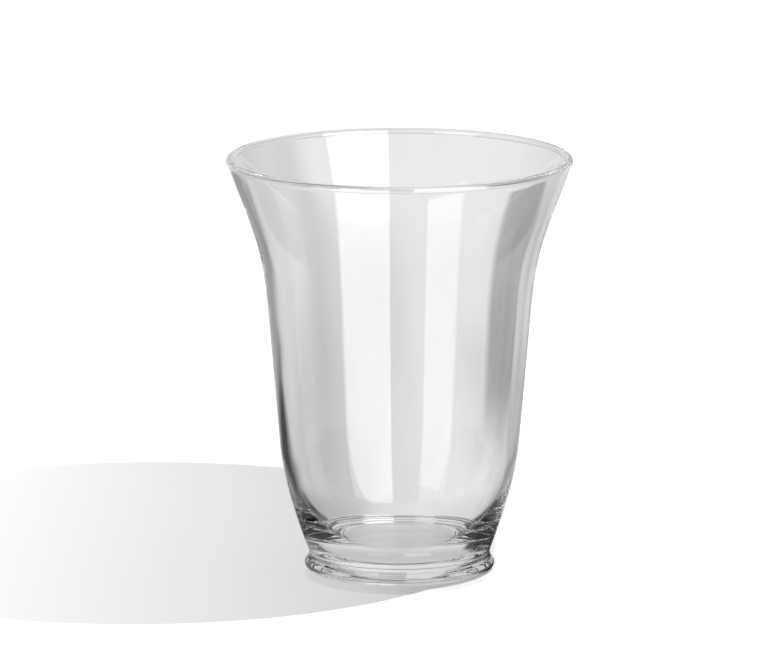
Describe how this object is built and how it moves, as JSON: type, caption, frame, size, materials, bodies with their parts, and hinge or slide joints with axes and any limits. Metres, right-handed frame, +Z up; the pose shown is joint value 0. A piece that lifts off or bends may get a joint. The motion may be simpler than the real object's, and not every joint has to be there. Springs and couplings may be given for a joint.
{
  "type": "goblet vase",
  "caption": "Clear glass goblet vase for cut flowers: a bowl with a flared mouth and a thick rounded bottom, a pinched waist and a short round foot.",
  "frame": {"origin": "centre of the ring that the foot stands on, at table height", "axes": "+Z up along the axis of revolution, from the foot to the mouth; +X and +Y are level, and the glass is the same all round"},
  "size_m": [0.126, 0.126, 0.1524],
  "materials": {
    "clear_glass": "clear soda-lime glass, smooth outside and in, with a fire-polished rim"
  },
  "bodies": {
    "root": {"bowl": "clear_glass", "joining_collar": "clear_glass", "foot": "clear_glass"}
  },
  "joints": []
}
